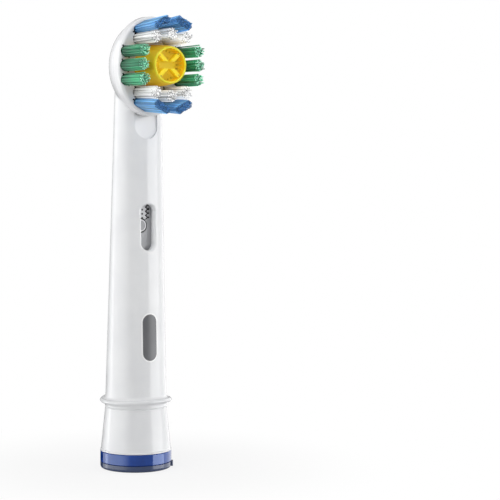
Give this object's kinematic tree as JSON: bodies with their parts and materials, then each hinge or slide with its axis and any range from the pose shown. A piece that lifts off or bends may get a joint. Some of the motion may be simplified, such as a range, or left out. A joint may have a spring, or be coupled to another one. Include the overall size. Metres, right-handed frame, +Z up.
{
  "type": "electric toothbrush head",
  "caption": "Push-on electric toothbrush head: hollow white neck with a window and a colour ring, and an oval carrier of green, white and blue tufts round a yellow cup.",
  "frame": {"origin": "centre of the handle socket's mouth, on the underside of the foot", "axes": "+Z up the neck to the head, -Y the way the tufts face"},
  "size_m": [0.0128, 0.019, 0.0769],
  "materials": {
    "white_shell": "satin",
    "foot_plastic": "satin",
    "ring_plastic": "gloss",
    "grey_plastic": "matt",
    "cup_rubber": "soft",
    "green_bristle": "bristle",
    "white_bristle": "bristle",
    "blue_bristle": "bristle",
    "steel": "drawn"
  },
  "bodies": {
    "housing": {"neck_tube": "white_shell", "base_foot": "foot_plastic", "colour_ring": "ring_plastic", "axle_pin": "steel"},
    "shaft": {"drive_coupling": "grey_plastic", "grip_spring": "steel", "drive_rod": "steel"},
    "carrier": {"bristle_carrier": "white_shell", "polishing_cup": "cup_rubber", "tuft_anchors": "steel", "green_tuft_right_1": "green_bristle", "green_tuft_right_2": "green_bristle", "green_tuft_right_3": "green_bristle", "green_tuft_left_1": "green_bristle", "green_tuft_left_2": "green_bristle", "green_tuft_left_3": "green_bristle", "white_tuft_upper_1": "white_bristle", "white_tuft_upper_2": "white_bristle", "white_tuft_upper_3": "white_bristle", "white_tuft_lower_1": "white_bristle", "white_tuft_lower_2": "white_bristle", "white_tuft_lower_3": "white_bristle", "blue_tuft_upper_right": "blue_bristle", "blue_tuft_upper_left": "blue_bristle", "blue_tuft_lower_right": "blue_bristle", "blue_tuft_lower_left": "blue_bristle"}
  },
  "joints": [
    {"name": "shaft_turn", "type": "hinge", "parent": "housing", "child": "shaft", "pos_m": [0, 0, 0.01015], "axis": [0, 0, 1], "range_deg": [-28.8, 28.8]},
    {"name": "carrier_swing", "type": "hinge", "parent": "housing", "child": "carrier", "pos_m": [0, -0.0036, 0.0686], "axis": [0, -1, 0], "range_deg": [-22.5, 22.5]}
  ],
  "couplings": [
    {"joint": "carrier_swing", "follows": "shaft_turn", "ratio": 0.78}
  ]
}
